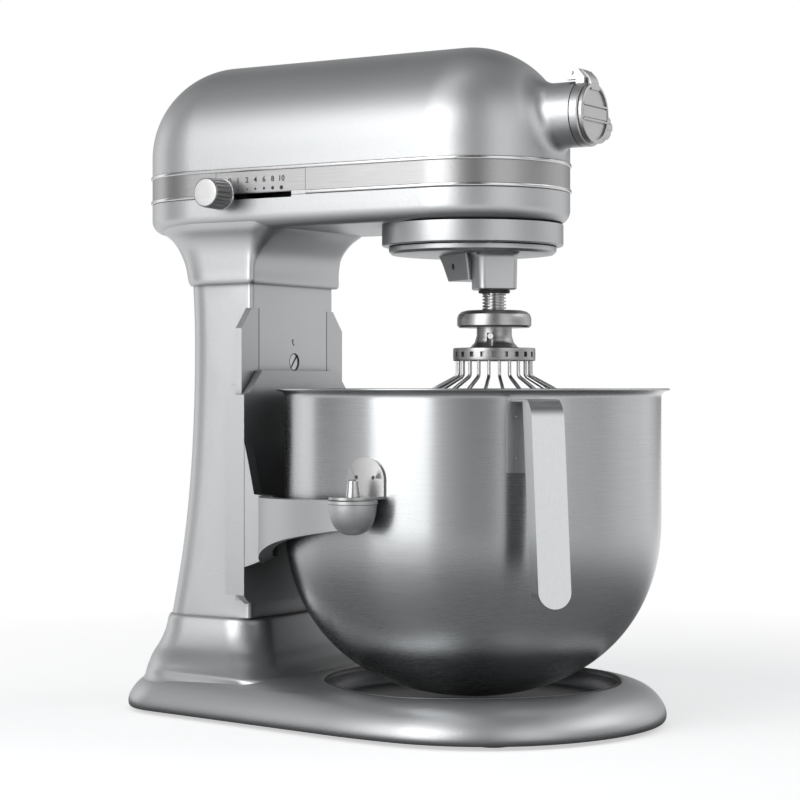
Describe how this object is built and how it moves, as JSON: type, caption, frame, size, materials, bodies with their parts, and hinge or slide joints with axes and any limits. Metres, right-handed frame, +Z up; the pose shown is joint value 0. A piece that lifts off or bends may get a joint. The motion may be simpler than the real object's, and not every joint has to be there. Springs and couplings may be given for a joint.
{
  "type": "bowl-lift stand mixer",
  "caption": "Bowl-lift stand mixer with a lifting yoke, steel bowl with strap handle, planetary wire whisk, sliding speed knob and covered attachment hub.",
  "frame": {"origin": "on the bowl and planetary axis at counter level, under the middle foot", "axes": "+Z up; the attachment hub faces -Y and the column stands towards +Y; the speed knob is on the -X side and the lift lever on the +X side"},
  "size_m": [0.294, 0.3664, 0.421],
  "materials": {
    "cast_paint": "satin metallic grey paint",
    "rubber": "matt",
    "zinc_steel": "zinc plated",
    "rail_metal": "satin",
    "bowl_steel": "fine brushed",
    "bright_trim": "polished",
    "scale_metal": "brushed",
    "dark_plastic": "matt",
    "knob_plastic": "semi gloss",
    "machined": "machined",
    "planet_alloy": "satin",
    "whisk_alloy": "burnished",
    "wire_steel": "polished wire",
    "copper": "enamelled copper",
    "board": "matt"
  },
  "bodies": {
    "stand": {"base_casting": "cast_paint", "rubber_feet": "rubber", "column_bolts": "zinc_steel", "column": "cast_paint", "slide_rail_left": "rail_metal", "slide_rail_right": "rail_metal", "rail_screws": "zinc_steel", "lower_casing": "cast_paint", "upper_casing": "cast_paint", "neck_bolts": "zinc_steel", "case_screws": "zinc_steel", "cord_gland": "dark_plastic", "trim_band": "bright_trim", "speed_plate": "scale_metal", "hub_flange": "bright_trim", "hinge_pin": "zinc_steel", "motor_stator": "copper", "motor_frame": "planet_alloy", "brush_holders": "copper", "control_board": "board", "gear_bridge": "planet_alloy", "centre_bearing": "machined", "drum": "planet_alloy", "drum_screws": "zinc_steel", "ring_gear": "machined"},
    "adjuster": {"adjusting_screw": "zinc_steel"},
    "lift": {"lift_shaft": "machined", "lift_crank": "machined", "lift_lever": "rail_metal", "lift_grip": "dark_plastic", "lever_cap": "dark_plastic"},
    "carriage": {"carriage": "cast_paint", "locating_pins": "zinc_steel", "latch_clip": "zinc_steel", "clip_screws": "zinc_steel"},
    "bowl": {"bowl_shell": "bowl_steel", "bowl_brackets": "bowl_steel", "bowl_handle": "bowl_steel", "handle_weld_plate": "bowl_steel", "rear_stud": "bowl_steel"},
    "speed": {"speed_lever": "machined", "speed_knob": "knob_plastic", "knob_ring": "bright_trim"},
    "cover": {"hub_cover": "bright_trim"},
    "clamp": {"hub_thumbscrew": "knob_plastic"},
    "attachment_drive": {"hub_drive": "machined"},
    "rotor": {"motor_rotor": "machined", "motor_worm": "machined", "motor_fan": "dark_plastic"},
    "reduction": {"worm_wheel": "copper"},
    "planetary": {"centre_shaft": "machined", "planetary_housing": "planet_alloy", "retaining_pin": "zinc_steel"},
    "beater": {"beater_shaft": "machined", "beater_drive_pin": "machined", "planet_pinion": "machined", "shaft_washer": "rubber", "shaft_spring": "zinc_steel"},
    "whisk": {"whisk_hub": "whisk_alloy", "whisk_wires": "wire_steel"}
  },
  "joints": [
    {"name": "adjusting_screw_turn", "type": "hinge", "parent": "stand", "child": "adjuster", "pos_m": [0.001, 0.136, 0.2254], "axis": [0, -1, 0], "range_deg": [-180, 180]},
    {"name": "lift_lever_turn", "type": "hinge", "parent": "stand", "child": "lift", "pos_m": [0, 0.158, 0.165], "axis": [1, 0, 0], "range_deg": [0, 90]},
    {"name": "carriage_lift", "type": "slide", "parent": "stand", "child": "carriage", "axis": [0, 0, 1], "range_m": [0, 0.034]},
    {"name": "bowl_lift_off", "type": "slide", "parent": "carriage", "child": "bowl", "axis": [0, 0, 1], "range_m": [0, 0.012]},
    {"name": "speed_slide", "type": "slide", "parent": "stand", "child": "speed", "axis": [0, -1, 0], "range_m": [0, 0.045]},
    {"name": "hub_cover_swing", "type": "hinge", "parent": "stand", "child": "cover", "pos_m": [0, -0.074, 0.3995], "axis": [-1, 0, 0], "range_deg": [0, 110]},
    {"name": "hub_thumbscrew_turn", "type": "hinge", "parent": "stand", "child": "clamp", "pos_m": [0.03, -0.0704, 0.37], "axis": [1, 0, 0], "range_deg": [-180, 180]},
    {"name": "planetary_spin", "type": "hinge", "parent": "stand", "child": "planetary", "pos_m": [0, 0, 0.29], "axis": [0, 0, 1], "continuous": true},
    {"name": "beater_spin", "type": "hinge", "parent": "planetary", "child": "beater", "pos_m": [-0.01779, -0.02538, 0.29], "axis": [0, 0, 1], "continuous": true},
    {"name": "reduction_spin", "type": "hinge", "parent": "stand", "child": "reduction", "pos_m": [0.027, 0.036, 0.36], "axis": [0, 0, 1], "continuous": true},
    {"name": "rotor_spin", "type": "hinge", "parent": "stand", "child": "rotor", "pos_m": [0, 0.1, 0.368], "axis": [0, 1, 0], "continuous": true},
    {"name": "attachment_drive_spin", "type": "hinge", "parent": "stand", "child": "attachment_drive", "pos_m": [0, -0.03, 0.375], "axis": [0, 1, 0], "continuous": true},
    {"name": "whisk_push", "type": "slide", "parent": "beater", "child": "whisk", "axis": [0, 0, 1], "range_m": [0, 0.004], "stiffness_N_per_m": 1000, "springref_m": -0.004, "deforming": ["shaft_spring"]}
  ],
  "couplings": [
    {"joint": "lift_lever_turn", "follows": "carriage_lift", "rad_per_m": 46.2},
    {"joint": "beater_spin", "follows": "planetary_spin", "ratio": -3.2222},
    {"joint": "reduction_spin", "follows": "planetary_spin", "ratio": -3.5},
    {"joint": "rotor_spin", "follows": "planetary_spin", "ratio": 17.5},
    {"joint": "attachment_drive_spin", "follows": "planetary_spin", "ratio": -1}
  ]
}
